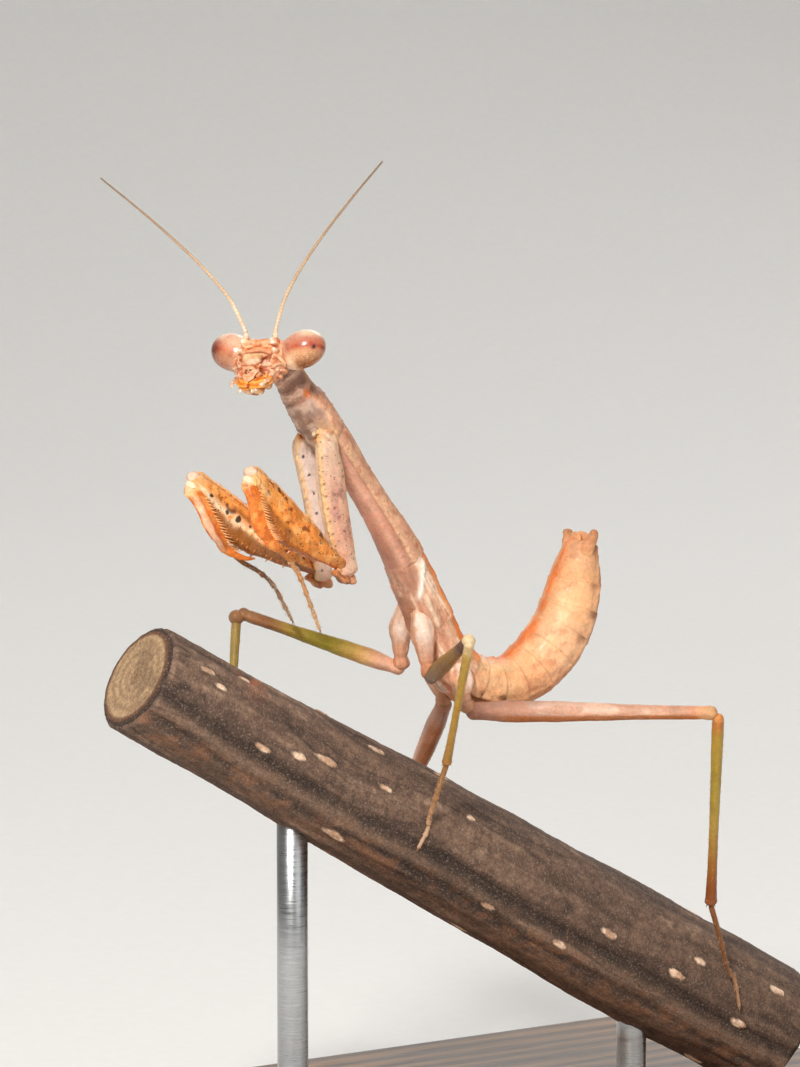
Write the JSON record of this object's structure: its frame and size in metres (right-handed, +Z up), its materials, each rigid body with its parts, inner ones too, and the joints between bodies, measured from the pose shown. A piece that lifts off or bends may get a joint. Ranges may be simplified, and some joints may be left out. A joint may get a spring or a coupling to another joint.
{
  "type": "praying mantis",
  "caption": "Wingless young praying mantis, life size, in a raised hunting stance on a sloping cut length of branch held by a plain stand.",
  "frame": {"origin": "middle of the underside of the stand's base, on the surface it stands on", "axes": "+Z up, the mantis faces -Y with its left side towards +X, and the branch falls towards +Y"},
  "size_m": [0.05, 0.068, 0.0697],
  "materials": {
    "head": "satin, cream and pink with red-brown mottling",
    "eye": "glossy, salmon pink above and speckled cream below",
    "feeler": "matt, pale",
    "thorax": "satin, pink-brown with yellow-orange edges",
    "abdomen": "satin, peach and orange with brown blotches",
    "fore_leg": "satin, orange with dark speckles",
    "coxa": "satin, pale pink-cream with dark dots",
    "walking_leg": "satin, olive yellow with a dark band before the knee",
    "bark": "rough grey-brown bark with pale pores",
    "stand_wood": "satin varnish",
    "stand_steel": "brushed"
  },
  "bodies": {
    "root": {"perch": "bark", "stand_base": "stand_wood", "stand_rod_front": "stand_steel", "stand_rod_rear": "stand_steel", "head": "head", "mouthparts": "fore_leg", "eye_left": "eye", "antenna_left": "feeler", "eye_right": "eye", "antenna_right": "feeler", "neck": "thorax", "prothorax": "thorax", "mesothorax": "thorax", "metathorax": "thorax", "abdomen_1": "abdomen", "abdomen_2": "abdomen", "abdomen_3": "abdomen", "abdomen_4": "abdomen", "cercus_left": "abdomen", "cercus_right": "abdomen", "fore_coxa_left": "coxa", "fore_trochanter_left": "fore_leg", "fore_femur_left": "fore_leg", "fore_tibia_left": "fore_leg", "fore_tarsus_left": "feeler", "fore_coxa_right": "coxa", "fore_trochanter_right": "fore_leg", "fore_femur_right": "fore_leg", "fore_tibia_right": "fore_leg", "fore_tarsus_right": "feeler", "mid_coxa_left": "coxa", "mid_femur_left": "walking_leg", "mid_tibia_left": "walking_leg", "mid_tarsus_left": "feeler", "hind_coxa_left": "coxa", "hind_femur_left": "walking_leg", "hind_tibia_left": "walking_leg", "hind_tarsus_left": "feeler", "mid_coxa_right": "coxa", "mid_femur_right": "walking_leg", "mid_tibia_right": "walking_leg", "mid_tarsus_right": "feeler", "hind_coxa_right": "coxa", "hind_femur_right": "walking_leg", "hind_tibia_right": "walking_leg", "hind_tarsus_right": "feeler"}
  },
  "joints": []
}
